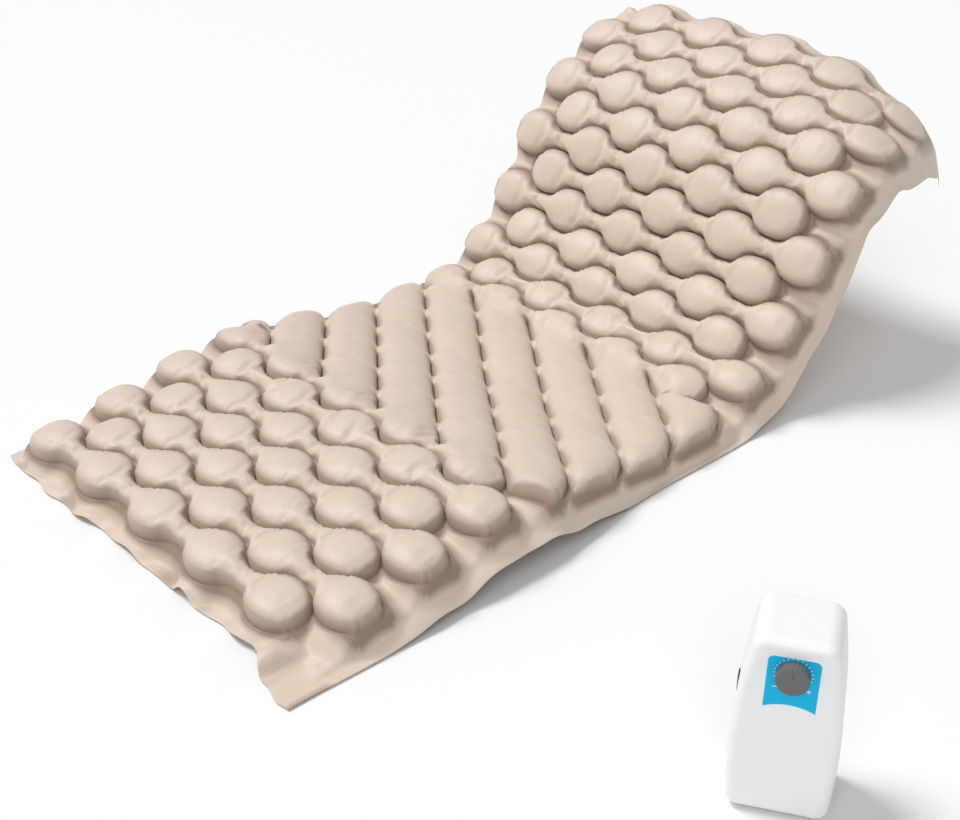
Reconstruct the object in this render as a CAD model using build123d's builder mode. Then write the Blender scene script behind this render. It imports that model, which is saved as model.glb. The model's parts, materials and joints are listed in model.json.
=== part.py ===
# Pressure relief mattress: an alternating air pad of welded film cells, and the pump that feeds it.
# Millimetres. +X runs from the foot of the pad to its head, +Y to its far side, +Z up from the floor.
# The origin is on the floor under the middle of the seat section.

import os
from math import cos, radians, sin

from build123d import *

os.makedirs("parts", exist_ok=True)

# --- driving dimensions: air pad ---------------------------------------------------------------
row_pitch = 64.6  # one row of cells to the next, along the pad
cell_field = 847.0  # width of the inflated field, five and a half cells
pad_width = 891.0  # with the plain weld margin along both sides
half_thickness = 33.0  # an inflated cell, above or below the weld plane
film = 0.45  # one layer of the film
crown_radius = 28.0  # rounding of the inflated field's rim
plan_radius = 30.0
end_gap = 4.0  # from a section's bend line to its cells
bend_gap = 1.0  # from a section's bend line to its weld margin
foot_flap_length, foot_flap_droop = 70.0, 10.0
head_flap_length, head_flap_droop = 90.0, 60.0
port_radius, port_bore, port_length = 4.5, 3.0, 40.0  # pad end of the two air hoses
port_drop = 14.0  # under the weld plane
port_places = (-335.0, -300.0)

# The sections from foot to head: name, rows of cells, slope at rest in degrees, rising to the head.
sections = (
    ("leg", 6, 9.0),
    ("thigh", 5, -10.0),
    ("seat", 3, 0.0),
    ("lumbar_lower", 2, 18.0),
    ("lumbar_upper", 2, 44.0),
    ("back", 3, 61.0),
    ("shoulder", 2, 43.0),
    ("head", 3, 28.0),
)

# --- driving dimensions: pump ------------------------------------------------------------------
case_height, case_depth, wall = 265.0, 95.0, 2.5
half_top, half_waist, half_bottom, waist_height = 48.5, 65.0, 61.5, 121.0
top_corner, bottom_corner = 19.0, 17.0
front_round, rear_round = 12.0, 6.0
split_depth = 45.0  # from the back to the joint between the two shells
foot_height = 2.0

label_half_width, label_top, label_foot, label_arch = 30.5, 244.5, 168.0, 175.5
label_corner, label_thickness = 7.5, 0.5
tongue_width, tongue_foot, tongue_fade, tongue_corner, tongue_rise = 65.0, 96.0, 158.0, 22.0, 2.0

knob_height = 221.5  # above the case's bottom
knob_radius, knob_thickness, knob_flutes = 19.7, 14.0, 24
stem_radius, running_clearance = 3.0, 0.05
tick_ring, tick_count, tick_length, tick_width = 22.0, 19, 2.2, 0.7
dial_sweep = 270.0

switch_height, switch_depth = 149.0, 33.0  # middle of the power switch, above the bottom and the back
switch_length, switch_width, switch_reach = 22.0, 14.0, 16.0
switch_face = 64.8  # from the case's middle
rocker_length, rocker_width, rocker_tilt = 14.0, 9.0, 8.0

hook_spacing, hook_pivot_height, hook_pivot_depth = 28.0, 228.0, -4.0
hook_width, hook_length, hook_thickness, hook_lip = 14.0, 68.0, 4.0, 14.0
hook_pin, hook_barrel = 2.0, 3.6
ear_thickness, ear_gap = 3.0, 0.5

nipple_places = (20.0, 40.0)
nipple_height, nipple_radius, nipple_bore, nipple_reach = 24.0, 4.0, 2.5, 18.0
nipple_collar, nipple_flange, nipple_root, nipple_inner = 1.5, 6.5, 4.6, 10.5
gland_place, gland_radius, gland_bore = (-36.0, 24.0), 7.5, 3.5
filter_place, filter_radius, filter_rim = (0.0, 110.0), 10.0, 3.0

screw_places = ((-46.0, 12.0), (46.0, 12.0), (-33.0, 252.0), (33.0, 252.0))
post_radius, screw_radius, screw_head = 4.5, 1.5, 3.0

chassis_depth, chassis_thickness = 16.0, 2.0
core_half, core_height, core_leg, core_low, core_high = 20.0, 44.0, 7.0, 31.0, 45.0
core_middle = 96.0
arm_place, arm_thickness, arm_pivot_height, arm_foot = 27.25, 2.5, 128.0, 66.0
arm_pin = 1.5
diaphragm_radius, diaphragm_near, diaphragm_far = 15.0, 30.8, 41.0
chamber_depth, chamber_side = 16.0, 36.0

valve_height = 188.0  # middle of the distributor, above the case's bottom
motor_radius, motor_thickness = 24.0, 17.5
housing_radius, housing_thickness, disc_radius, disc_thickness = 22.0, 14.0, 18.5, 5.0
cover_thickness, spigot_height = 3.0, 8.0
tube_radius, tube_bore, tube_bend = 3.5, 2.2, 8.0

# --- where the pump stands: upright on the floor beside the leg section, its front turned outwards
pump_turn = 30.5  # degrees from +X to the direction that its back faces
pump_back = (-471.0, -932.0)
pump_place = Plane(
    origin=(*pump_back, foot_height),
    x_dir=(sin(radians(pump_turn)), -cos(radians(pump_turn)), 0),
    z_dir=(-cos(radians(pump_turn)), -sin(radians(pump_turn)), 0),
).location


def save(piece, node, place=Location()):
    """Stand a finished piece in its place, label it and write it."""
    piece.part = piece.part.moved(place)
    piece.part.label = node
    export_step(piece.part, f"parts/{node}.step")


# ================================================================================================
# Air pad
# ================================================================================================
names = [name for name, rows, slope in sections]
lengths = [rows * row_pitch for name, rows, slope in sections]
slopes = [radians(slope) for name, rows, slope in sections]
seat = names.index("seat")


def along(point, length, slope):
    """The point reached by going a length up a slope in the XZ plane."""
    return (point[0] + length * cos(slope), point[1] + length * sin(slope))


# Foot-side end of every section, on the weld plane: outwards from the seat, which lies on the floor.
starts = {seat: (-lengths[seat] / 2, half_thickness)}
for i in range(seat + 1, len(sections)):
    starts[i] = along(starts[i - 1], lengths[i - 1], slopes[i - 1])
for i in reversed(range(seat)):
    starts[i] = along(starts[i + 1], -lengths[i], slopes[i])


def on_slope(point, slope):
    """A frame at a point of the XZ plane, with its X axis up the slope."""
    return Plane(
        origin=(point[0], 0, point[1]),
        x_dir=(cos(slope), 0, sin(slope)),
        z_dir=(-sin(slope), 0, cos(slope)),
    ).location


# Each section is two films, welded together at their rims and blown apart between them.
for i, name in enumerate(names):
    middle = on_slope(along(starts[i], lengths[i] / 2, slopes[i]), slopes[i])
    for side, turn in (("top", 0), ("bottom", 180)):
        with BuildPart() as sheet:
            with BuildSketch():
                RectangleRounded(lengths[i] - 2 * end_gap, cell_field, plan_radius)
            extrude(amount=half_thickness)
            fillet(sheet.faces().sort_by(Axis.Z)[-1].edges(), crown_radius)
            offset(amount=-film, openings=sheet.faces().sort_by(Axis.Z)[0])
            with BuildSketch():
                Rectangle(lengths[i] - 2 * bend_gap, pad_width)
                RectangleRounded(
                    lengths[i] - 2 * end_gap - film,
                    cell_field - film,
                    plan_radius,
                    mode=Mode.SUBTRACT,
                )
            extrude(amount=film)
        save(sheet, f"{name}_{side}_sheet", middle * Rotation(turn, 0, 0))

# Plain double film past the last welds at both ends.
def flap(length, node, end, slope):
    """A flap that leaves an end of the pad in the direction of its local -X axis."""
    with BuildPart() as sheet:
        with BuildSketch() as outline:
            with Locations((-length / 2, 0)):
                Rectangle(length, pad_width)
            fillet(outline.vertices().group_by(Axis.X)[0], plan_radius)
        extrude(amount=film, both=True)
    save(sheet, node, on_slope(end, slope))


foot_end = along(starts[0], bend_gap - film, slopes[0])
head_end = along(starts[len(sections) - 1], lengths[-1] - bend_gap + film, slopes[-1])
flap(foot_flap_length, "foot_flap", foot_end, radians(foot_flap_droop))
flap(head_flap_length, "head_flap", head_end, radians(180 - head_flap_droop))

# Pad end of the two air hoses, let into the end of the leg section under the foot flap.
port_start = along(starts[0], end_gap, slopes[0])
for letter, place in zip("ab", port_places):
    with BuildPart() as port:
        with BuildSketch(Plane.YZ):
            with Locations((place, -port_drop)):
                Circle(port_radius)
                Circle(port_bore, mode=Mode.SUBTRACT)
        extrude(amount=-port_length)
    save(port, f"hose_port_{letter}", on_slope(port_start, slopes[0]))

# ================================================================================================
# Pump. Its own frame: X to the right seen from the front, Y up, Z from its back to its front.
# ================================================================================================
with BuildSketch() as case_outline:
    with BuildLine():
        right = ThreePointArc((half_bottom, 0), (half_waist, waist_height), (half_top, case_height))
        Line(right @ 1, (0, case_height))
        Line(right @ 0, (0, 0))
        mirror(about=Plane.YZ)
    make_face()
    fillet(case_outline.vertices().group_by(Axis.Y)[-1], top_corner)
    fillet(case_outline.vertices().group_by(Axis.Y)[0], bottom_corner)

with BuildSketch() as label_outline:
    with BuildLine():
        Polyline(
            (-label_half_width, label_foot),
            (-label_half_width, label_top),
            (label_half_width, label_top),
            (label_half_width, label_foot),
        )
        ThreePointArc((label_half_width, label_foot), (0, label_arch), (-label_half_width, label_foot))
    make_face()
    fillet(label_outline.vertices().group_by(Axis.Y)[-1], label_corner)

# Raised tongue low on the front, which fades into the face towards the label.
with BuildPart() as tongue:
    tongue_height = tongue_fade - tongue_foot
    with BuildSketch(Plane.XY.offset(case_depth - wall / 2)):
        with Locations((0, tongue_foot + tongue_height / 2)):
            RectangleRounded(tongue_width, tongue_height, tongue_corner)
    extrude(amount=wall / 2 + tongue_rise)
    split(
        bisect_by=Plane(
            origin=(0, tongue_fade, case_depth - wall / 4),
            x_dir=(1, 0, 0),
            z_dir=(0, tongue_rise + wall / 4, tongue_height),
        ),
        keep=Keep.BOTTOM,
    )

with BuildPart() as front_shell:
    with BuildSketch(Plane.XY.offset(split_depth)):
        add(case_outline.sketch)
    extrude(amount=case_depth - split_depth)
    fillet(front_shell.faces().sort_by(Axis.Z)[-1].edges(), front_round)
    offset(amount=-wall, openings=front_shell.faces().sort_by(Axis.Z)[0])
    add(tongue.part)
    with BuildSketch(Plane.XY.offset(case_depth - label_thickness)):
        add(label_outline.sketch)
    extrude(amount=label_thickness, mode=Mode.SUBTRACT)
    with BuildSketch(Plane.XY.offset(split_depth)):
        with Locations(*screw_places):
            Circle(post_radius)
    extrude(until=Until.NEXT)
    with Locations(*[(x, y, split_depth) for x, y in screw_places]):
        Hole(screw_radius + running_clearance, depth=wall * 6)
    with Locations((0, knob_height, case_depth)):
        Hole(stem_radius + running_clearance, depth=wall * 3)
save(front_shell, "front_shell", pump_place)

# Printed panel in its recess, and the scale of ticks raised on it around the knob.
with BuildPart() as front_label:
    with BuildSketch(Plane.XY.offset(case_depth - label_thickness)):
        add(label_outline.sketch)
    extrude(amount=label_thickness)
    with Locations((0, knob_height, case_depth)):
        Hole(stem_radius + running_clearance)
save(front_label, "front_label", pump_place)

with BuildPart() as dial_scale:
    with BuildSketch(Plane.XY.offset(case_depth)):
        with Locations((0, knob_height)):
            with PolarLocations(tick_ring, tick_count, 90 - dial_sweep / 2, dial_sweep):
                Rectangle(tick_length, tick_width)
    extrude(amount=label_thickness / 2)
save(dial_scale, "dial_scale", pump_place)

# Fluted knob with a pointer groove, on the stem of the air bleed valve.
knob_base = case_depth + 1.0
with BuildPart() as pressure_knob:
    with BuildSketch(Plane.XY.offset(knob_base)):
        with Locations((0, knob_height)):
            Circle(knob_radius)
    extrude(amount=knob_thickness)
    chamfer(pressure_knob.faces().sort_by(Axis.Z)[-1].edges(), 1.2)
    with BuildSketch(Plane.XY.offset(knob_base + 3)):
        with Locations((0, knob_height)):
            with PolarLocations(knob_radius + 0.6, knob_flutes):
                Circle(1.2)
    extrude(amount=knob_thickness, mode=Mode.SUBTRACT)
    with BuildSketch(Plane.XY.offset(knob_base + knob_thickness)):
        with Locations((0, knob_height + knob_radius / 2)):
            Rectangle(1.6, knob_radius * 0.6)
    extrude(amount=-0.8, mode=Mode.SUBTRACT)
    with Locations((0, knob_height, knob_base)):
        Hole(stem_radius, depth=knob_thickness / 2)
save(pressure_knob, "pressure_knob", pump_place)

valve_back, valve_front = 62.0, 86.0
with BuildPart() as regulator_stem:
    with BuildSketch(Plane.XY.offset(valve_back + 6)):
        with Locations((0, knob_height)):
            Circle(stem_radius)
    extrude(amount=knob_base + knob_thickness / 2 - valve_back - 6)
save(regulator_stem, "regulator_stem", pump_place)

with BuildPart() as regulator_body:
    with BuildSketch(Plane.XY.offset(valve_back)):
        with Locations((0, knob_height)):
            RectangleRounded(22, 22, 4)
    extrude(amount=valve_front - valve_back)
    with BuildSketch(Plane.XY.offset(valve_front)):
        with Locations((0, knob_height)):
            Circle(6.5)
    extrude(amount=case_depth - wall - valve_front)
    with Locations((0, knob_height, case_depth - wall)):
        Hole(stem_radius + running_clearance, depth=case_depth - wall - valve_back - 6)
save(regulator_body, "regulator_body", pump_place)

# Rear shell: posts for the screws, ears and pockets for the two hanger hooks, openings for the rest.
hook_places = [side * hook_spacing for side in (-1, 1)]
pocket_low = hook_pivot_height - hook_length - 3
pocket_high = pocket_low + hook_thickness + 5
pocket_width, pocket_depth = hook_width + 3, hook_lip
ear_places = [x + side * (hook_width / 2 + ear_gap + ear_thickness / 2) for x in hook_places for side in (-1, 1)]

with BuildPart() as rear_shell:
    with BuildSketch():
        add(case_outline.sketch)
    extrude(amount=split_depth)
    fillet(rear_shell.faces().sort_by(Axis.Z)[0].edges(), rear_round)
    offset(amount=-wall, openings=rear_shell.faces().sort_by(Axis.Z)[-1])
    with BuildSketch():
        with Locations(*screw_places):
            Circle(post_radius)
        with Locations(*[(x, (pocket_low + pocket_high) / 2) for x in hook_places]):
            Rectangle(pocket_width + 2 * wall, pocket_high - pocket_low + 2 * wall)
    extrude(amount=pocket_depth + wall)
    with BuildSketch(Plane.XY.offset(pocket_depth)):
        with Locations(*screw_places):
            Circle(post_radius)
    extrude(amount=split_depth - pocket_depth)
    with BuildSketch():
        with Locations(*[(x, (pocket_low + pocket_high) / 2) for x in hook_places]):
            Rectangle(pocket_width, pocket_high - pocket_low)
    extrude(amount=pocket_depth, mode=Mode.SUBTRACT)
    with BuildSketch():
        with Locations(*[(x, hook_pivot_height) for x in ear_places]):
            Rectangle(ear_thickness, 2.6 * hook_barrel)
    extrude(amount=hook_pivot_depth - hook_barrel)
    with BuildSketch(Plane.YZ.offset(-case_height)):
        with Locations((hook_pivot_height, hook_pivot_depth)):
            Circle(hook_pin + running_clearance)
    extrude(amount=2 * case_height, mode=Mode.SUBTRACT)
    with Locations(*[(x, y, 0) for x, y in screw_places]):
        Hole(screw_radius + 0.2)
    with BuildSketch():
        with Locations(*screw_places):
            Circle(screw_head + 0.3)
        with Locations(gland_place):
            Circle(gland_radius)
        with Locations(filter_place):
            Circle(filter_radius)
        with Locations(*[(x, nipple_height) for x in nipple_places]):
            Circle(nipple_root)
    extrude(amount=wall * 2, mode=Mode.SUBTRACT)
    with BuildSketch(Plane.YZ.offset(-case_height)):
        with Locations((switch_height, switch_depth)):
            Rectangle(switch_length, switch_width)
    extrude(amount=case_height - 2 * switch_reach, mode=Mode.SUBTRACT)
save(rear_shell, "rear_shell", pump_place)

# Hanger hooks, folded down against the back. Each swings out on its own pin and hangs on a bed rail.
for side, x in zip(("left", "right"), hook_places):
    with BuildPart() as hook:
        with BuildSketch(Plane.YZ.offset(x - hook_width / 2)):
            with Locations((hook_pivot_height, hook_pivot_depth)):
                Circle(hook_barrel)
            with Locations((hook_pivot_height - hook_length / 2, hook_pivot_depth)):
                Rectangle(hook_length, hook_thickness)
            with Locations((hook_pivot_height - hook_length + hook_thickness / 2, hook_lip / 2 + hook_pivot_depth)):
                Rectangle(hook_thickness, hook_lip)
        extrude(amount=hook_width)
        with BuildSketch(Plane.YZ.offset(x - hook_width / 2 - ear_gap - ear_thickness)):
            with Locations((hook_pivot_height, hook_pivot_depth)):
                Circle(hook_pin)
        extrude(amount=hook_width + 2 * (ear_gap + ear_thickness))
    save(hook, f"hook_{side}", pump_place)

# Power switch: a framed rocker low on the left side, resting at off.
with BuildPart() as power_switch_body:
    with BuildSketch(Plane.YZ.offset(-switch_face)):
        with Locations((switch_height, switch_depth)):
            Rectangle(switch_length, switch_width)
    extrude(amount=switch_reach)
    with BuildSketch(Plane.YZ.offset(-switch_face)):
        with Locations((switch_height, switch_depth)):
            Rectangle(rocker_length + 2.4, rocker_width + 1.2)
    extrude(amount=switch_reach / 2, mode=Mode.SUBTRACT)
    with Locations(Plane.XY.offset(switch_depth - switch_width / 2)):
        with Locations((-switch_face + 3, switch_height, 0)):
            Cylinder(
                1 + running_clearance,
                switch_width - 1,
                align=(Align.CENTER, Align.CENTER, Align.MIN),
                mode=Mode.SUBTRACT,
            )
save(power_switch_body, "power_switch_body", pump_place)

rocker_axis = Plane.XY.offset(switch_depth - switch_width / 2 + 1)
with BuildPart() as power_rocker:
    with BuildSketch(Plane.XY.offset(switch_depth - rocker_width / 2)):
        with BuildLine():
            half = rocker_length / 2
            Polyline((-1.5, -half), (3.0, -half + 1.5), (3.0, half - 1.5), (-1.5, half))
            ThreePointArc((-1.5, half), (-0.6, 0), (-1.5, -half))
        make_face()
    extrude(amount=rocker_width)
    with BuildSketch(rocker_axis):
        Circle(1)
    extrude(amount=switch_width - 3)
rocker_place = Location((-switch_face - 0.5 + 3.5, switch_height, 0)) * Rotation(0, 0, rocker_tilt)
save(power_rocker, "power_rocker", pump_place * rocker_place)

# Hose nipples and the cord's gland, low on the back. A nipple is a stack of short steps from its tip in.
nipple_steps = (
    (-nipple_reach, -nipple_collar, nipple_radius),
    (-nipple_collar, 0, nipple_flange),
    (0, wall, nipple_root),
    (wall, wall + nipple_collar, nipple_flange),
    (wall + nipple_collar, nipple_inner, tube_radius),
)
for letter, x in zip("ab", nipple_places):
    with BuildPart() as nipple:
        for low, high, radius in nipple_steps:
            with BuildSketch(Plane.XY.offset(low)):
                with Locations((x, nipple_height)):
                    Circle(radius)
            extrude(amount=high - low)
        chamfer(nipple.faces().sort_by(Axis.Z)[0].edges(), 0.6)
        with Locations((x, nipple_height, 0)):
            Hole(nipple_bore)
    save(nipple, f"hose_nipple_{letter}", pump_place)

with BuildPart() as cord_gland:
    with BuildSketch(Plane.XY.offset(-2)):
        with Locations(gland_place):
            Circle(gland_radius + 2)
    extrude(amount=2)
    with BuildSketch():
        with Locations(gland_place):
            Circle(gland_radius)
    extrude(amount=wall)
    with BuildSketch(Plane.XY.offset(wall)):
        with Locations(gland_place):
            Circle(gland_radius + 2)
    extrude(amount=2)
    with Locations((*gland_place, 0)):
        Hole(gland_bore)
save(cord_gland, "cord_gland", pump_place)

with BuildPart() as case_screws:
    with BuildSketch(Plane.XY.offset(2 * wall)):
        with Locations(*screw_places):
            Circle(screw_radius)
    extrude(amount=split_depth - 2 * wall + 4 * wall)
    with BuildSketch(Plane.XY.offset(2 * wall - 2)):
        with Locations(*screw_places):
            Circle(screw_head)
    extrude(amount=2)
save(case_screws, "case_screws", pump_place)

foot_radius = 6.0
with BuildPart() as rubber_feet:
    with BuildSketch(Plane.XZ):
        with Locations(*[(x, z) for x in (-38, 38) for z in (18, case_depth - 22)]):
            Circle(foot_radius)
    extrude(amount=foot_height)
save(rubber_feet, "rubber_feet", pump_place)

# Linear air pump: a laminated core whose two coils swing a magnet arm on each side of it. Each arm
# works a rubber diaphragm against its valve chamber. All of it stands on a plate on soft isolators.
chassis_low, chassis_high = 60.0, 134.0
chassis_top = chassis_depth + chassis_thickness
chassis_middle = (chassis_low + chassis_high) / 2
isolator_places = [(x, y) for x in (-44, 44) for y in (chassis_low + 8, chassis_high - 8)]
with BuildPart() as pump_chassis:
    with BuildSketch(Plane.XY.offset(chassis_depth)):
        with Locations((0, chassis_middle)):
            RectangleRounded(112, chassis_high - chassis_low, 6)
    extrude(amount=chassis_thickness)
save(pump_chassis, "pump_chassis", pump_place)

with BuildPart() as rubber_isolators:
    with BuildSketch(Plane.XY.offset(wall)):
        with Locations(*isolator_places):
            Circle(5)
    extrude(amount=chassis_depth - wall)
save(rubber_isolators, "rubber_isolators", pump_place)

with BuildPart() as magnet_core:
    with BuildSketch(Plane.XY.offset(chassis_top)):
        with Locations((0, core_middle)):
            Rectangle(8, core_height)
    extrude(amount=core_high - chassis_top)
    with BuildSketch(Plane.XY.offset(core_low)):
        with Locations(*[(0, core_middle + step * (core_height - core_leg) / 2) for step in (-1, 0, 1)]):
            Rectangle(2 * core_half, core_leg)
    extrude(amount=core_high - core_low)
save(magnet_core, "magnet_core", pump_place)

coil_height = (core_height - 3 * core_leg) / 2 - 0.6
with BuildPart() as coil_windings:
    for step in (-1, 1):
        with BuildSketch(Plane.XZ.offset(-core_middle - step * (core_height - core_leg) / 4)):
            with Locations((0, (chassis_top + 2 + core_high + 6) / 2)):
                RectangleRounded(26, core_high + 4 - chassis_top, 5)
            with Locations((0, (chassis_top + core_high) / 2)):
                Rectangle(8.2, core_high - chassis_top + 0.2, mode=Mode.SUBTRACT)
        extrude(amount=coil_height / 2, both=True)
save(coil_windings, "coil_windings", pump_place)

with BuildPart() as arm_pivot_pins:
    with BuildSketch(Plane.XY.offset(chassis_top)):
        with Locations((-arm_place, arm_pivot_height), (arm_place, arm_pivot_height)):
            Circle(arm_pin)
    extrude(amount=core_high + 3 - chassis_top)
save(arm_pivot_pins, "arm_pivot_pins", pump_place)

for side, sign in (("left", -1), ("right", 1)):
    with BuildPart() as arm:
        with BuildSketch(Plane.XY.offset(core_low)):
            with Locations((sign * arm_place, (arm_foot + arm_pivot_height) / 2)):
                Rectangle(arm_thickness, arm_pivot_height - arm_foot)
            with Locations((sign * arm_place, arm_pivot_height)):
                Circle(4)
                Circle(arm_pin + running_clearance, mode=Mode.SUBTRACT)
        extrude(amount=core_high - core_low)
    save(arm, f"swing_arm_{side}", pump_place)

    magnet_thickness = arm_place - arm_thickness / 2 - core_half - 2
    with BuildPart() as magnet:
        with BuildSketch(Plane.XY.offset(core_low)):
            with Locations((sign * (core_half + 2 + magnet_thickness / 2), core_middle)):
                Rectangle(magnet_thickness, core_height - core_leg)
        extrude(amount=core_high - core_low)
    save(magnet, f"arm_magnet_{side}", pump_place)

    with BuildPart() as diaphragm:
        with BuildSketch(Plane.YZ.offset(sign * diaphragm_near)):
            with Locations((core_middle, (core_low + core_high) / 2)):
                Circle(diaphragm_radius * 0.55)
        with BuildSketch(Plane.YZ.offset(sign * diaphragm_far)):
            with Locations((core_middle, (core_low + core_high) / 2)):
                Circle(diaphragm_radius)
        loft()
    save(diaphragm, f"diaphragm_{side}", pump_place)

    with BuildPart() as chamber:
        with BuildSketch(Plane.YZ.offset(sign * diaphragm_far)):
            with Locations((core_middle, (core_low + core_high) / 2)):
                RectangleRounded(chamber_side, chamber_side, 4)
        extrude(amount=sign * chamber_depth)
        with BuildSketch(Plane.XY.offset((core_low + core_high + chamber_side) / 2)):
            with Locations((sign * (diaphragm_far + chamber_depth / 2), core_middle)):
                Circle(tube_bore)
        extrude(amount=spigot_height)
    save(chamber, f"valve_chamber_{side}", pump_place)

# Distributor: a slow geared motor turns a slotted disc, which feeds one circuit of cells, then the other.
motor_top = wall + motor_thickness
housing_top = motor_top + housing_thickness
cover_top = housing_top + cover_thickness
with BuildPart() as distributor_motor:
    with BuildSketch(Plane.XY.offset(wall)):
        with Locations((0, valve_height)):
            Circle(motor_radius)
    extrude(amount=motor_thickness)
    chamfer(distributor_motor.faces().sort_by(Axis.Z)[-1].edges(), 1.5)
save(distributor_motor, "distributor_motor", pump_place)

with BuildPart() as distributor_housing:
    with BuildSketch(Plane.XY.offset(motor_top)):
        with Locations((0, valve_height)):
            Circle(housing_radius)
    extrude(amount=housing_thickness)
    with BuildSketch(Plane.XY.offset(motor_top + 3)):
        with Locations((0, valve_height)):
            Circle(disc_radius + 0.6)
    extrude(amount=housing_thickness - 3, mode=Mode.SUBTRACT)
    with Locations((0, valve_height, motor_top + 3)):
        Hole(stem_radius + running_clearance, depth=3)
save(distributor_housing, "distributor_housing", pump_place)

with BuildPart() as valve_disc:
    with BuildSketch(Plane.XY.offset(motor_top + 4)):
        with Locations((0, valve_height)):
            Circle(disc_radius)
            with PolarLocations(11, 2):
                Circle(4.5, mode=Mode.SUBTRACT)
    extrude(amount=disc_thickness)
    with BuildSketch(Plane.XY.offset(motor_top + 0.4)):
        with Locations((0, valve_height)):
            Circle(stem_radius)
    extrude(amount=4)
save(valve_disc, "valve_disc", pump_place)

spigot_places = [(-12.0, valve_height), (12.0, valve_height), (8.0, valve_height - 12), (8.0, valve_height + 12)]
with BuildPart() as distributor_cover:
    with BuildSketch(Plane.XY.offset(housing_top)):
        with Locations((0, valve_height)):
            Circle(housing_radius)
    extrude(amount=cover_thickness)
    with BuildSketch(Plane.XY.offset(cover_top)):
        with Locations(*spigot_places):
            Circle(tube_bore)
    extrude(amount=spigot_height)
save(distributor_cover, "distributor_cover", pump_place)


def air_tube(node, *corners):
    """A soft tube through its corners, slipped over the spigot or nipple at each end."""
    with BuildPart() as tube:
        with BuildLine():
            path = FilletPolyline(*corners, radius=tube_bend)
        with BuildSketch(Plane(origin=path @ 0, z_dir=path % 0)):
            Circle(tube_radius)
            Circle(tube_bore, mode=Mode.SUBTRACT)
        sweep()
    save(tube, node, pump_place)


# The tubes run over the works at two depths, so that they pass clear of each other.
chamber_top = (core_low + core_high + chamber_side) / 2
chamber_port = diaphragm_far + chamber_depth / 2
low_run, high_run = 72.0, 82.0
for side, sign, spigot in (("left", -1, 0), ("right", 1, 1)):
    x, y = spigot_places[spigot]
    air_tube(
        f"supply_tube_{side}",
        (sign * chamber_port, core_middle, chamber_top),
        (sign * chamber_port, core_middle, low_run),
        (sign * chamber_port, y, low_run),
        (x, y, low_run),
        (x, y, cover_top),
    )
for letter, spigot, place in (("a", 2, nipple_places[0]), ("b", 3, nipple_places[1])):
    x, y = spigot_places[spigot]
    air_tube(
        f"outlet_tube_{letter}",
        (x, y, cover_top),
        (x, y, high_run),
        (place, y - 20, high_run),
        (place, nipple_height, high_run),
        (place, nipple_height, nipple_inner),
    )

# Mains board and its fuse, beside the cord's gland.
board_place, board_depth = (-18.0, 44.0), 12.0
with BuildPart() as circuit_board:
    with BuildSketch(Plane.XY.offset(board_depth)):
        with Locations(board_place):
            Rectangle(48, 20)
    extrude(amount=1.6)
    with BuildSketch(Plane.XY.offset(wall)):
        with Locations(*[(board_place[0] + dx, board_place[1]) for dx in (-20, 20)]):
            Circle(3)
    extrude(amount=board_depth - wall)
save(circuit_board, "circuit_board", pump_place)

with BuildPart() as fuse:
    with BuildSketch(Plane.YZ.offset(board_place[0] - 10)):
        with Locations((board_place[1], board_depth + 1.6 + 2.6)):
            Circle(2.6)
    extrude(amount=20)
save(fuse, "fuse", pump_place)

# Air intake: a slotted cap in a hole in the back.
with BuildPart() as filter_cap:
    with BuildSketch(Plane.XY.offset(-1.5)):
        with Locations(filter_place):
            Circle(filter_radius + filter_rim)
    extrude(amount=1.5)
    with BuildSketch():
        with Locations(filter_place):
            Circle(filter_radius)
    extrude(amount=wall)
    with BuildSketch(Plane.XY.offset(-1.5)):
        with Locations(filter_place):
            with GridLocations(0, 4, 1, 4):
                SlotOverall(1.3 * filter_radius, 1.6)
    extrude(amount=wall + 1.5, mode=Mode.SUBTRACT)
save(filter_cap, "filter_cap", pump_place)
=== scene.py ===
"""Pressure relief mattress: an alternating air pad and its pump. All lengths are in metres."""

import json
import math

import bpy
import numpy as np
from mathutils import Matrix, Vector


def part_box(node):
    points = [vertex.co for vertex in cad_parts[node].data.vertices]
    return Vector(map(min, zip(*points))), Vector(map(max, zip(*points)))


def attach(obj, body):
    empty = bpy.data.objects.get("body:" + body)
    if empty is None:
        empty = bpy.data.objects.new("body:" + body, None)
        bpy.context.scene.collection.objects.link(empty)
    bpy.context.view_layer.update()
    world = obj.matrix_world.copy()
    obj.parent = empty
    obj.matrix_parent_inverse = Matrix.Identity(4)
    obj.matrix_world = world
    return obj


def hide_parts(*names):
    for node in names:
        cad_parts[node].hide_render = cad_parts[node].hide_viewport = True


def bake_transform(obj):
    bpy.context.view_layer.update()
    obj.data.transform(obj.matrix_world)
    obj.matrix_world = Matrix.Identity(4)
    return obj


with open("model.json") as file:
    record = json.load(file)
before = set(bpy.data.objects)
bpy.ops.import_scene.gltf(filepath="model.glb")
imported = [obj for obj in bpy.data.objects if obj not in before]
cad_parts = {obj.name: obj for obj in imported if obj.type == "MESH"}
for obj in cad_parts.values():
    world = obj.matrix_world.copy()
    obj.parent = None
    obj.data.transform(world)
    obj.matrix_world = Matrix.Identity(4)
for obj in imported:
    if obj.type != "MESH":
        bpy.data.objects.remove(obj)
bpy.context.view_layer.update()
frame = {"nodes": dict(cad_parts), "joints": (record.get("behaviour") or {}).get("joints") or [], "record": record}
nodes = frame["nodes"]
joints = {joint["name"]: joint for joint in frame["joints"]}
rng = np.random.default_rng(26)

# The pad's cells: staggered rows, each cell touching its four neighbours in the rows beside it.
ROWS = 26
THIGH_ROWS = 5
HALF_PITCH = 0.077  # half the distance between two cells of one row
FAR_CELL = 4.5 * HALF_PITCH  # the far edge's first cell, measured from the pad's middle line
PAD_WIDTH = 0.891
HALF_THICKNESS = 0.032
FILM = 0.0006  # from the weld plane to the outside of either film where they are welded
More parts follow.
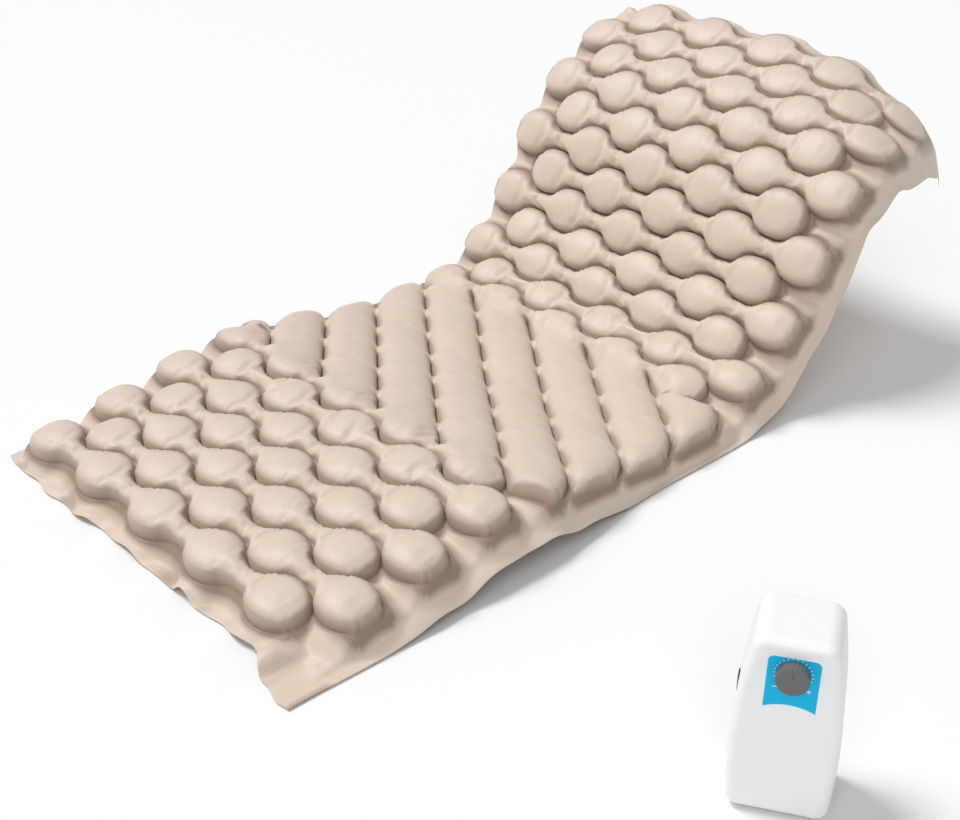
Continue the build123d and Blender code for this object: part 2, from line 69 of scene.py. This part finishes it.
# Welds between these rows are short dashes, so that the cells run together into long tubes.
TUBE_ROWS = (7, 14)

# Hinges of the pad's chain, foot to head, with the rows of cells in front of each.
HINGES = (
    ("knee_bend", "leg_section", "thigh_section", 6),
    ("thigh_raise", "thigh_section", "seat_section", 11),
    ("back_raise", "seat_section", "lumbar_lower_section", 14),
    ("lumbar_bend", "lumbar_lower_section", "lumbar_upper_section", 16),
    ("back_bend", "lumbar_upper_section", "back_section", 18),
    ("shoulder_bend", "back_section", "shoulder_section", 21),
    ("head_bend", "shoulder_section", "head_section", 23),
)
SLOPES = (9, -10, 0, 18, 44, 61, 43, 28)  # of the sections at rest, in degrees, rising to the head
CUTS = (8, 12, 15, 17, 19, 22)  # weld lines between the pieces of the pad, one hinge in each piece
FOLD_RADIUS = 0.22  # of the near head corner, which droops
HEM_RADIUS = 0.050  # of the head's hem, which curls under
BEND_REACH = 0.040  # each hinge's bend is spread this far to both sides

hinge_points = [Vector(joints[name]["pos_m"]) for name, *_ in HINGES]
row_pitch = (hinge_points[1] - hinge_points[0]).length / THIGH_ROWS
cell_radius = math.hypot(row_pitch, HALF_PITCH) / 2


# ================================================================================================
# Shading helpers
# ================================================================================================
def material(name, colour, roughness, **sockets):
    """A principled material and its node tree's shader."""
    made = bpy.data.materials.new(name)
    made.use_nodes = True
    shader = made.node_tree.nodes["Principled BSDF"]
    shader.inputs["Base Color"].default_value = (*colour, 1)
    shader.inputs["Roughness"].default_value = roughness
    for socket, value in sockets.items():
        shader.inputs[socket.replace("_", " ")].default_value = value
    return made, shader


def texture(made, kind, scale, detail=4.0, **settings):
    """A procedural texture read in the object's own metres."""
    tree = made.node_tree
    node = tree.nodes.new(kind)
    place = tree.nodes.get("place") or tree.nodes.new("ShaderNodeTexCoord")
    place.name = "place"
    tree.links.new(place.outputs["Object"], node.inputs["Vector"])
    node.inputs["Scale"].default_value = scale
    if "Detail" in node.inputs:
        node.inputs["Detail"].default_value = detail
    for socket, value in settings.items():
        node.inputs[socket].default_value = value
    return node


def spread(made, value, low, high):
    """Maps a 0 to 1 value onto a range."""
    node = made.node_tree.nodes.new("ShaderNodeMapRange")
    made.node_tree.links.new(value, node.inputs["Value"])
    node.inputs["To Min"].default_value = low
    node.inputs["To Max"].default_value = high
    return node.outputs["Result"]


def between(made, factor, first, second):
    """Mixes two colours by a factor."""
    node = made.node_tree.nodes.new("ShaderNodeMix")
    node.data_type = "RGBA"
    made.node_tree.links.new(factor, node.inputs["Factor"])
    for socket, colour in (("A", first), ("B", second)):
        target = [i for i in node.inputs if i.name == socket and i.type == "RGBA"][0]
        if isinstance(colour, tuple):
            target.default_value = (*colour, 1)
        else:
            made.node_tree.links.new(colour, target)
    return [o for o in node.outputs if o.type == "RGBA"][0]


def bump(made, shader, height, distance, strength=1.0):
    """Adds a bump to whatever normal the shader already has."""
    node = made.node_tree.nodes.new("ShaderNodeBump")
    node.inputs["Distance"].default_value = distance
    node.inputs["Strength"].default_value = strength
    made.node_tree.links.new(height, node.inputs["Height"])
    if shader.inputs["Normal"].is_linked:
        earlier = shader.inputs["Normal"].links[0].from_socket
        made.node_tree.links.new(earlier, node.inputs["Normal"])
    made.node_tree.links.new(node.outputs["Normal"], shader.inputs["Normal"])


def dress(piece, made):
    """Gives a piece its one material."""
    piece.data.materials.clear()
    piece.data.materials.append(made)


def mesh_object(name, vertices, faces):
    """A new mesh object in the scene."""
    mesh = bpy.data.meshes.new(name)
    mesh.from_pydata(vertices, [], faces)
    mesh.update()
    made = bpy.data.objects.new(name, mesh)
    bpy.context.scene.collection.objects.link(made)
    return made


def smoothstep(value):
    """Rises smoothly from 0 to 1 as its value does."""
    value = np.clip(value, 0, 1)
    return value * value * (3 - 2 * value)


def waves(count, shortest, longest, size, along, across):
    """A sum of seeded plane waves over the pad's own coordinates."""
    total = np.zeros_like(along)
    for _ in range(count):
        length = rng.uniform(shortest, longest)
        angle = rng.uniform(0, 2 * math.pi)
        phase = rng.uniform(0, 2 * math.pi)
        travel = along * math.cos(angle) + across * math.sin(angle)
        total += np.sin(travel * 2 * math.pi / length + phase)
    return total * size / math.sqrt(count)


# ================================================================================================
# The pad's film, flat: a grid whose lines follow the wavy welds between the rows of cells
# ================================================================================================
ROW_STEPS = 12  # grid steps across one row of cells
FLAP_STEPS = 9  # grid steps over the flat film past the first and the last row
ACROSS = 172  # grid steps over the pad's width
WAVE = 0.78  # how far the welds swing, against the cells' round outlines
DASH = 0.36  # half the length of a dashed weld, in half pitches across the pad
TUBE_END = 0.404  # the tubes end this far from the middle line
CROWDING = 0.35  # how much closer together the grid lines lie beside the welds
FOOT_MARGIN, FOOT_CORNER = 0.036, 0.050  # flat film past the first row, and at the near corner
HEAD_MARGIN, HEAD_CORNER = 0.034, 0.022
END_STRETCH = 1.06  # a row's last cell is this much longer across the pad than along it
SNAP = 0.045  # grid points this near the end of such a cell, in cell radii, move onto it
across = np.linspace(-PAD_WIDTH / 2, PAD_WIDTH / 2, ACROSS + 1)


def from_cell(row, y):
    """Distance across the pad from the nearest of a row's five cells; odd rows are staggered."""
    cell = np.clip(np.round(((FAR_CELL - y) / HALF_PITCH - row % 2) / 2), 0, 4) * 2 + row % 2
    return np.abs(FAR_CELL - cell * HALF_PITCH - y)


def from_dash(k, y):
    """Signed distance across the pad from the nearest dash of weld k, in half pitches."""
    return (((FAR_CELL - y) / HALF_PITCH - (k - 0.5) + 1) % 2) - 1


def weld_line(k, y):
    """Where the weld between rows k - 1 and k runs, measured from the first row's middle."""
    nearer, farther = from_cell(k - 1, y), from_cell(k, y)
    swells = nearer <= farther
    offset = np.where(swells, nearer, farther)
    arc = np.maximum(np.sqrt(np.maximum(cell_radius**2 - offset**2, 0)) - row_pitch / 2, 0)
    swing = np.where(swells, 1, -1) * arc * WAVE
    if TUBE_ROWS[0] <= k <= TUBE_ROWS[1]:
        # Dashes lie straight along the tubes; the film between them comes back to the next dash.
        step = from_dash(k, y)
        back = (1 - np.abs(step)) * DASH / (1 - DASH) * np.sign(step)
        swing = -row_pitch * np.where(np.abs(step) < DASH, step, back)
    return (k - 0.5) * row_pitch + swing


steps = np.linspace(0, 1, ROW_STEPS + 1)
steps = steps - CROWDING * np.sin(2 * math.pi * steps) / (2 * math.pi)
foot_edge = weld_line(0, across)
head_edge = weld_line(ROWS, across)
foot_hem = -0.5 * row_pitch - FOOT_MARGIN - FOOT_CORNER * smoothstep((-across - 0.27) / 0.13)
foot_hem = foot_hem - waves(6, 0.06, 0.22, 0.004, across, across * 0)
head_hem = (ROWS - 0.5) * row_pitch + HEAD_MARGIN
head_hem = head_hem + HEAD_CORNER * smoothstep((-across - 0.28) / 0.12)
head_hem = head_hem + waves(6, 0.08, 0.30, 0.004, across, across * 0)

flap_steps = np.linspace(0, 1, FLAP_STEPS + 1)
lines = [foot_hem + (foot_edge - foot_hem) * t for t in flap_steps[:-1]]
for row in range(ROWS):
    low, high = weld_line(row, across), weld_line(row + 1, across)
    lines += [low + (high - low) * t for t in steps[:-1]]
lines += [head_edge + (head_hem - head_edge) * t for t in flap_steps]
X = np.array(lines)
Y = np.broadcast_to(across, X.shape).copy()
FIRST = FLAP_STEPS  # index of the first weld line
row_starts = FIRST + np.arange(ROWS) * ROW_STEPS

welded = np.ones(X.shape, bool)
for start in row_starts:
    welded[start + 1 : start + ROW_STEPS] = False
for k in range(TUBE_ROWS[0], TUBE_ROWS[1] + 1):
    welded[FIRST + k * ROW_STEPS] = np.abs(from_dash(k, across)) <= DASH

# Rows end in rounded cells; the film beyond them is a plain welded margin. Tubes end close to
# the hem.
for row, start in enumerate(row_starts):
    rows = slice(start, start + ROW_STEPS + 1)
    if TUBE_ROWS[0] <= row < TUBE_ROWS[1]:
        welded[rows] |= np.abs(Y[rows]) > TUBE_END
        continue
    for cell, side in ((row % 2, 1), (row % 2 + 8, -1)):
        centre = FAR_CELL - cell * HALF_PITCH
        apart_x = (X[rows] - row * row_pitch) / cell_radius
        apart_y = (Y[rows] - centre) / (END_STRETCH * cell_radius)
        reach = np.hypot(apart_x, apart_y)
        beyond = (Y[rows] - centre) * side > 0
        snapped = beyond & (np.abs(reach - 1) < SNAP) & ~welded[rows]
        end_x = row * row_pitch + apart_x / reach * cell_radius
        end_y = centre + apart_y / reach * END_STRETCH * cell_radius
        X[rows] = np.where(snapped, end_x, X[rows])
        Y[rows] = np.where(snapped, end_y, Y[rows])
        welded[rows] |= beyond & ((reach > 1) | snapped)

# ================================================================================================
# Inflated height: the soap film over the welds, steepened as a pressed film is
# ================================================================================================
RELAXATIONS = 900
FULLNESS = 0.97  # height of the cells before the film swells between its welds
CROWN_POWER = 0.34  # turns the soap film's dome into a full cell
EDGE_POWER = 0.14  # added to it near the hems, where the cells are rounder
TUBE_POWER = 2.4  # of a tube's section, a little squarer than a circle's
TUBE_TAPER = 0.050  # length of a tube's rounded end
SADDLE = 0.010  # height of the film between one dash and the next
HEAD_SLACK = 0.30  # share of the height that the last rows lack, doubled at the near corner
CLOTH_FRAMES = 10
CLOTH_REACH = 0.010  # no point moves further than this while the film swells
TUBE_CALM = 0.8  # share of that movement taken away in the tubes, which stay smooth
CREASE_SHADE_HEIGHT = 0.014  # a weld beside film this high gets the full painted crease shade
CREASE_SHADE_SPREAD = 0.52  # share of a crease's painted shade that reaches the next grid line

spacing_x = np.gradient(X, axis=0)
spacing_y = across[1] - across[0]
pull_x, pull_y = 1 / spacing_x**2, 1 / spacing_y**2
swell = np.zeros(X.shape)
for _ in range(RELAXATIONS):
    inner = (
        4 / cell_radius**2
        + pull_x[1:-1, 1:-1] * (swell[2:, 1:-1] + swell[:-2, 1:-1])
        + pull_y * (swell[1:-1, 2:] + swell[1:-1, :-2])
    ) / (2 * pull_x[1:-1, 1:-1] + 2 * pull_y)
    swell[1:-1, 1:-1] = np.where(welded[1:-1, 1:-1], 0, inner)

# Cells and tubes come to the same height, though the wider tubes would swell further.
row_tops = [np.percentile(swell[start + 3 : start + ROW_STEPS - 2], 92) for start in row_starts]
line_tops = np.interp(np.arange(X.shape[0]), row_starts + ROW_STEPS / 2, row_tops)
crown = swell / line_tops[:, None]
crown = crown / (1 + np.maximum(crown - 0.9, 0))
power = CROWN_POWER + EDGE_POWER * smoothstep((np.abs(Y) - 0.27) / 0.06)
height = HALF_THICKNESS * FULLNESS * crown**power

# Tubes run aslant, from the far side towards the foot, with a low saddle between one dash and
# the next.
row_of, cell_of = X / row_pitch, (FAR_CELL - Y) / HALF_PITCH
in_tubes = smoothstep((row_of - TUBE_ROWS[0] + 0.9) / 0.7)
in_tubes = in_tubes * smoothstep((TUBE_ROWS[1] - 0.1 - row_of) / 0.7)
off_middle = np.abs((row_of + cell_of + 1) % 2 - 1)
off_dash = np.abs((cell_of - row_of + 1) % 2 - 1)
saddle = SADDLE * smoothstep((off_dash - 0.55) / 0.35)
past_end = np.clip((np.abs(Y) - TUBE_END) / TUBE_TAPER + 1, 0, 1)
section = np.clip(1 - off_middle**TUBE_POWER - past_end**TUBE_POWER, 0, 1)
tube = HALF_THICKNESS * np.sqrt(section)
tube = np.minimum(np.hypot(tube, saddle * (1 - past_end)), HALF_THICKNESS)
height = np.where(welded, 0, height + (tube - height) * in_tubes)

# The last rows at the head hold little air, least of all at the near corner.
near_corner = smoothstep((-Y - 0.05) / 0.35)
slack = smoothstep((row_of - 21.5) / 4.0) * (HEAD_SLACK + HEAD_SLACK * near_corner)
height *= 1 - slack

quads = np.arange(X.size).reshape(X.shape)
quads = np.stack([quads[:-1, :-1], quads[1:, :-1], quads[1:, 1:], quads[:-1, 1:]], -1)
quads = quads.reshape(-1, 4)


def inflate(heights):
    """Swells the film between its welds under pressure, so that it puckers along them."""
    start = np.stack([X, Y, heights], -1).reshape(-1, 3)
    film = mesh_object("film", start.tolist(), quads.tolist())
    weld = film.vertex_groups.new(name="weld")
    weld.add(np.nonzero(welded.reshape(-1))[0].tolist(), 1.0, "REPLACE")
    cloth = film.modifiers.new("cloth", "CLOTH")
    settings = cloth.settings
    settings.quality = 4
    settings.mass = 0.3
    settings.tension_stiffness = settings.compression_stiffness = 30
    settings.shear_stiffness = 12
    settings.bending_stiffness = 0.4
    settings.vertex_group_mass = "weld"
    settings.shrink_min = -0.05
    settings.use_pressure = True
    settings.uniform_pressure_force = 12
    settings.effector_weights.gravity = 0
    cloth.collision_settings.use_self_collision = False
    for moment in range(1, CLOTH_FRAMES + 1):
        bpy.context.scene.frame_set(moment)
    settled = film.evaluated_get(bpy.context.evaluated_depsgraph_get())
    swollen = np.empty(X.size * 3)
    settled.data.vertices.foreach_get("co", swollen)
    bpy.data.objects.remove(film)
    bpy.context.scene.frame_set(1)
    return swollen.reshape(*X.shape, 3)


def neighbours(values, axis):
    """The larger value of each grid point's two neighbours along one axis."""
    return np.maximum(np.roll(values, 1, axis), np.roll(values, -1, axis))


flat = np.stack([X, Y, height], -1)
shift = inflate(height) - flat
length = np.linalg.norm(shift, axis=-1, keepdims=True)
held = np.minimum(1, CLOTH_REACH / np.maximum(length, 1e-9))
flat = flat + shift * held * (1 - TUBE_CALM * in_tubes[..., None])
flat[..., 2] = np.clip(flat[..., 2], 0, HALF_THICKNESS * 1.12)

# Painted shade in the creases: how deep in a crease each point lies, for darkening the film's
# colour there: welds beside a swollen cell, and a little of the film next to them.
tallest = flat[..., 2].copy()
for axis in (0, 1):
    for _ in range(3):
        tallest = np.maximum(tallest, neighbours(tallest, axis))
crease_shade = np.where(flat[..., 2] < 0.003, smoothstep(tallest / CREASE_SHADE_HEIGHT), 0)
for axis in (0, 1, 0):
    crease_shade = np.maximum(crease_shade, CREASE_SHADE_SPREAD * neighbours(crease_shade, axis))


# ================================================================================================
# The pad's shape: margins and hems droop, then the whole film follows the hinges' profile
# ================================================================================================
HEM_START = 0.398  # the side hems begin this far from the middle line
MARGIN_SAG = 0.024  # of the side margins below the cells' middle
HEM_DROOP, FOOT_DROOP = 0.45, 0.75  # slopes of the side hems and of the foot hem
FOLD_LINE = 1.715  # where the slanting fold at the near head corner crosses the middle line
FILM_ON_FLOOR = (0.0035, 0.0022)  # heights of the top and the bottom film lying on the floor
FLOOR_EASE = 0.003  # the film comes down to these heights over about this much

along, over = flat[..., 0], flat[..., 1]
past_foot = np.maximum(0, foot_edge - along)
past_head = np.maximum(0, along - head_edge)

# How far each point of the margins lies outside the last cells or tubes.
beyond_cells = np.full(X.shape, 0.05)
for row in range(ROWS):
    for cell in (row % 2, row % 2 + 8):
        gap = np.hypot(along - row * row_pitch, over - FAR_CELL + cell * HALF_PITCH) - cell_radius
        beyond_cells = np.clip(gap, 0, beyond_cells)
beyond_tubes = np.clip(np.abs(over) - TUBE_END, 0, 0.05)
outside = beyond_cells + (beyond_tubes - beyond_cells) * in_tubes
free = smoothstep((np.abs(over) - 0.29) / 0.04)

# Side margins sag beside the cells and curl under along the hem.
hem = np.maximum(0, np.abs(over) - HEM_START)
tuck = hem * (0.50 + 0.12 * waves(6, 0.15, 0.6, 1.0, along, over * 0))
level = -MARGIN_SAG * free * smoothstep(outside / 0.040) - HEM_DROOP * hem
level += 0.0030 * free * smoothstep(outside / 0.02) * waves(10, 0.05, 0.16, 1.0, along, over)
level += waves(8, 0.35, 0.90, 0.0035, along, over)

# The foot hem curls down beyond its cells, with a rolled lip and ridges running off it, and lies
# over the hose ports.
port_boxes = [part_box(f"hose_port_{letter}") for letter in "ab"]
ports = sum((port[0].y + port[1].y) / 4 for port in port_boxes)
over_ports = np.exp(-(((over - ports) / 0.038) ** 4))
ridges = waves(9, 0.026, 0.065, 1.0, across, across * 0)
level -= FOOT_DROOP * past_foot * smoothstep(past_foot / 0.012)
level *= 1 - 0.93 * over_ports * smoothstep(past_foot / 0.012)
level += ridges * 0.0075 * smoothstep(past_foot / 0.026)
# Painted shade darkens the furrows between the ridges of the foot hem.
furrow_shade = 0.6 * smoothstep(-ridges / 1.3) * smoothstep(past_foot / 0.015) * (1 - over_ports)
crease_shade = np.maximum(crease_shade, furrow_shade)
level += 0.006 * smoothstep((past_foot - 0.026) / 0.014)
level += waves(10, 0.03, 0.11, 0.0030, along, over) * smoothstep(past_head / 0.03)
curl = past_head / HEM_RADIUS
level -= HEM_RADIUS * (1 - np.cos(curl))

# The near corner at the head bends down round a slanting fold.
fold = np.maximum(0, (along - over - FOLD_LINE) * math.sqrt(0.5))
bent = fold / FOLD_RADIUS
pulled = (fold - FOLD_RADIUS * np.sin(bent)) * math.sqrt(0.5)
drawn = past_head - HEM_RADIUS * np.sin(curl)
level -= FOLD_RADIUS * (1 - np.cos(bent))


def follow_profile(points):
    """Bends flat points, whose third value is the height over the weld plane, round the hinges."""
    path = points[:, 0] + row_pitch / 2
    starts = np.array([hinge[3] for hinge in HINGES]) * row_pitch
    nearest = np.argmin(np.abs(path[:, None] - starts), axis=1)
    reach = path - starts[nearest]
    pivots = np.array([[p.x, p.z] for p in hinge_points])[nearest]
    slopes = np.radians(SLOPES)
    share = smoothstep((reach + BEND_REACH) / (2 * BEND_REACH))
    turn = slopes[nearest] + (slopes[nearest + 1] - slopes[nearest]) * share
    rise = points[:, 2]
    bent = np.empty_like(points)
    bent[:, 0] = pivots[:, 0] + reach * np.cos(turn) - rise * np.sin(turn)
    bent[:, 1] = points[:, 1]
    bent[:, 2] = pivots[:, 1] + reach * np.sin(turn) + rise * np.cos(turn)
    return bent


def normals_of(points, faces):
    """Smooth normals of a whole surface, so that the pieces cut from it shade as one."""
    corners = points[faces]
    flat_normals = np.cross(corners[:, 2] - corners[:, 0], corners[:, 3] - corners[:, 1])
    total = np.zeros_like(points)
    for corner in range(4):
        np.add.at(total, faces[:, corner], flat_normals)
    return total / np.maximum(np.linalg.norm(total, axis=1, keepdims=True), 1e-12)


count = X.size
top, bottom = flat.copy(), flat.copy()
bottom[..., 2] *= -1
top[..., 2] += level + FILM
bottom[..., 2] += level - FILM
for side in (top, bottom):
    side[..., 0] -= pulled + drawn
    side[..., 1] += pulled - np.sign(over) * tuck
points = follow_profile(np.concatenate([top.reshape(-1, 3), bottom.reshape(-1, 3)]))
# Film that would hang below the floor lies on it instead.
lying = np.repeat(FILM_ON_FLOOR, count)
points[:, 2] = lying + FLOOR_EASE * np.logaddexp(0, (points[:, 2] - lying) / FLOOR_EASE)

# The rims close the two films into one surface.
index = np.arange(count).reshape(X.shape)
rims = []
for rim in (index[0, ::-1], index[-1], index[:, 0], index[::-1, -1]):
    strip = np.stack([rim[:-1], rim[1:], rim[1:] + count, rim[:-1] + count], -1)
    rims.append(strip[:, ::-1])
faces = np.concatenate([quads, quads[:, ::-1] + count, *rims])
shading = normals_of(points, faces)
crease_shade = np.concatenate([crease_shade.reshape(-1)] * 2)


# ================================================================================================
# Materials
# ================================================================================================
def film_material():
    """Welded film: slightly cloudy, finely grained and crumpled, with painted shade darkening it in the creases.
    """
    made, shader = material(
        "pad_film", (0.68, 0.56, 0.46), 0.48, Specular_IOR_Level=0.35, Sheen_Weight=0.08
    )
    tree = made.node_tree
    attribute = tree.nodes.new("ShaderNodeAttribute")
    attribute.attribute_name = "crease_shade"
    cloudy = texture(made, "ShaderNodeTexNoise", 9, 3)
    tone = between(made, cloudy.outputs["Fac"], (0.700, 0.580, 0.482), (0.650, 0.530, 0.435))
    # Painted shade: the film's colour darkens towards dark brown in the creases.
    shade_strength = spread(made, attribute.outputs["Fac"], 0, 0.85)
    crease_shaded_colour = between(made, shade_strength, tone, (0.25, 0.17, 0.12))
    tree.links.new(crease_shaded_colour, shader.inputs["Base Color"])
    grain = texture(made, "ShaderNodeTexNoise", 900, 2)
    bump(made, shader, grain.outputs["Fac"], 0.00012, 0.5)
    crumple = texture(made, "ShaderNodeTexNoise", 42, 3, Distortion=0.8)
    bump(made, shader, crumple.outputs["Fac"], 0.0025, 0.35)
    return made


def moulded(name, colour, roughness, grain=0.00004, **sockets):
    """A moulded plastic with a faint texture and slightly uneven gloss."""
    made, shader = material(name, colour, roughness, **sockets)
    fine = texture(made, "ShaderNodeTexNoise", 1800, 2)
    bump(made, shader, fine.outputs["Fac"], grain, 0.5)
    smudges = texture(made, "ShaderNodeTexNoise", 14, 4)
    gloss = spread(made, smudges.outputs["Fac"], roughness - 0.04, roughness + 0.05)
    made.node_tree.links.new(gloss, shader.inputs["Roughness"])
    return made


def metal(name, colour, roughness):
    """A metal with a faint grain."""
    made, shader = material(name, colour, roughness, Metallic=1.0)
    brushed = texture(made, "ShaderNodeTexNoise", 700, 3)
    bump(made, shader, brushed.outputs["Fac"], 0.00003, 0.5)
    return made


film = film_material()
finishes = {
    "pad_film": film,
    "flap_film": film,
    "hose_port": moulded("hose_port", (0.72, 0.60, 0.50), 0.35),
    "case_white": moulded("case_white", (0.88, 0.88, 0.885), 0.36),
    "label_cyan": moulded("label_cyan", (0.002, 0.47, 0.78), 0.40, Specular_IOR_Level=0.2),
    "dial_white": moulded("dial_white", (0.92, 0.94, 0.95), 0.35),
    "knob_grey": moulded("knob_grey", (0.125, 0.128, 0.13), 0.50, grain=0.00010),
    "black_plastic": moulded("black_plastic", (0.018, 0.018, 0.02), 0.45),
    "nylon": moulded("nylon", (0.72, 0.70, 0.64), 0.42),
    "steel": metal("steel", (0.62, 0.62, 0.62), 0.35),
    "core_steel": metal("core_steel", (0.20, 0.21, 0.23), 0.55),
    "copper": metal("copper", (0.72, 0.33, 0.16), 0.35),
    "magnet": metal("magnet", (0.13, 0.13, 0.14), 0.60),
    "rubber_black": moulded("rubber_black", (0.02, 0.02, 0.02), 0.75, grain=0.0001),
    "silicone": moulded("silicone", (0.70, 0.72, 0.71), 0.45),
    "board_green": moulded("board_green", (0.02, 0.16, 0.06), 0.40),
    "glass_fuse": material("glass_fuse", (0.95, 0.98, 1.0), 0.05, Transmission_Weight=0.9)[0],
}
for part in frame["record"]["subparts"]:
    dress(nodes[part["node"]], finishes[part["material_slot"]])


# ================================================================================================
# The pad's pieces, cut along welds, one hinge lying in each
# ================================================================================================
def sheets(*sections):
    """The names of the top and bottom film of each section."""
    return [f"{section}_{side}_sheet" for section in sections for side in ("top", "bottom")]


PIECES = (
    ("pad_leg", [*sheets("leg"), "foot_flap"]),
    ("pad_thigh", sheets("thigh")),
    ("pad_seat", sheets("seat")),
    ("pad_lumbar_lower", sheets("lumbar_lower")),
    ("pad_lumbar_upper", sheets("lumbar_upper")),
    ("pad_back", sheets("back")),
    ("pad_head", [*sheets("shoulder", "head"), "head_flap"]),
)
face_lines = np.concatenate([np.arange(count) // X.shape[1]] * 2)[faces]
limits = [0, *[FIRST + cut * ROW_STEPS for cut in CUTS], X.shape[0]]
for order, (name, stood_for) in enumerate(PIECES):
    first, last = limits[order : order + 2]
    inside = (face_lines >= first).all(axis=1) & (face_lines <= last).all(axis=1)
    used, renumbered = np.unique(faces[inside], return_inverse=True)
    piece = mesh_object(name, points[used].tolist(), renumbered.reshape(-1, 4).tolist())
    piece.data.polygons.foreach_set("use_smooth", np.ones(len(piece.data.polygons), bool))
    # Each piece keeps its share of the painted crease shade, which darkens the film's colour.
    stored = piece.data.attributes.new("crease_shade", "FLOAT", "POINT")
    stored.data.foreach_set("value", crease_shade[used].astype(np.float32))
    piece.data.normals_split_custom_set_from_vertices(shading[used].tolist())
    dress(piece, film)
    hinge, (slope, next_slope) = hinge_points[order], np.radians(SLOPES[order : order + 2])
    start = hinge - BEND_REACH * Vector((math.cos(slope), 0, math.sin(slope)))
    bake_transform(piece)
    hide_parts(*stood_for)


# ================================================================================================
# Printed marks beside the knob: a minus and a plus
# ================================================================================================
LABEL_DEPTH = 0.005  # of the label's face behind the knob's pivot
MARK_X, MARK_Y = 0.0195, -0.0215  # from the knob's middle
MARK_LENGTH, MARK_WIDTH, MARK_THICKNESS = 0.0050, 0.0009, 0.00015
SQUARE = ((-1, -1), (1, -1), (1, 1), (-1, 1))
knob_joint = joints["pressure_knob_turn"]
facing = -Vector(knob_joint["axis"])
right = Vector((-facing.y, facing.x, 0))
label_face = Vector(knob_joint["pos_m"]) - facing * LABEL_DEPTH


def bar(name, x, y, width, height):
    """A thin printed bar, placed from the knob's middle."""
    middle = label_face + right * x + Vector((0, 0, y))
    outline = [middle + right * (width / 2 * i) + Vector((0, 0, height / 2 * j)) for i, j in SQUARE]
    printed = mesh_object(
        name,
        [p + facing * d for d in (0.0, MARK_THICKNESS) for p in outline],
        [(3, 2, 1, 0), (4, 5, 6, 7)] + [(i, (i + 1) % 4, (i + 1) % 4 + 4, i + 4) for i in range(4)],
    )
    dress(printed, finishes["dial_white"])
    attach(printed, "pump")


bar("mark_minus", -MARK_X, MARK_Y, MARK_LENGTH, MARK_WIDTH)
bar("mark_plus_across", MARK_X, MARK_Y, MARK_LENGTH, MARK_WIDTH)
bar("mark_plus_up", MARK_X, MARK_Y, MARK_WIDTH, MARK_LENGTH)


# ================================================================================================
# Camera, floor and lights
# ================================================================================================
FLOOR_REACH, FLOOR_LEVEL = 60, -0.0006
scene = bpy.context.scene
scene.view_settings.view_transform = "Standard"

camera_data = bpy.data.cameras.new("camera")
camera_data.lens = 54.15
camera = bpy.data.objects.new("camera", camera_data)
camera.location = (-1.694, -1.654, 1.315)
camera.rotation_euler = Vector((0.5978, 0.6247, -0.5024)).to_track_quat("-Z", "Y").to_euler()
scene.collection.objects.link(camera)
scene.camera = camera

floor_corners = [(x * FLOOR_REACH, y * FLOOR_REACH, FLOOR_LEVEL) for x, y in SQUARE]
floor = mesh_object("floor", floor_corners, [(0, 1, 2, 3)])
dress(floor, material("floor", (0.88, 0.88, 0.88), 0.7)[0])

world = bpy.data.worlds.new("world")
scene.world = world
world.use_nodes = True
sky = world.node_tree.nodes["Background"]
sky.inputs["Color"].default_value = (0.97, 0.98, 1.0, 1)
sky.inputs["Strength"].default_value = 0.40


def soft_sun(name, towards, softness, power):
    """An even light from far away in the given direction, with soft shadows."""
    data = bpy.data.lights.new(name, "SUN")
    data.angle = softness
    data.energy = power
    lamp = bpy.data.objects.new(name, data)
    lamp.rotation_euler = Vector(towards).to_track_quat("Z", "Y").to_euler()
    scene.collection.objects.link(lamp)


soft_sun("key", (-0.16, 0.47, 0.87), 0.40, 2.1)
soft_sun("fill", (-0.62, -0.42, 0.66), 0.70, 0.75)
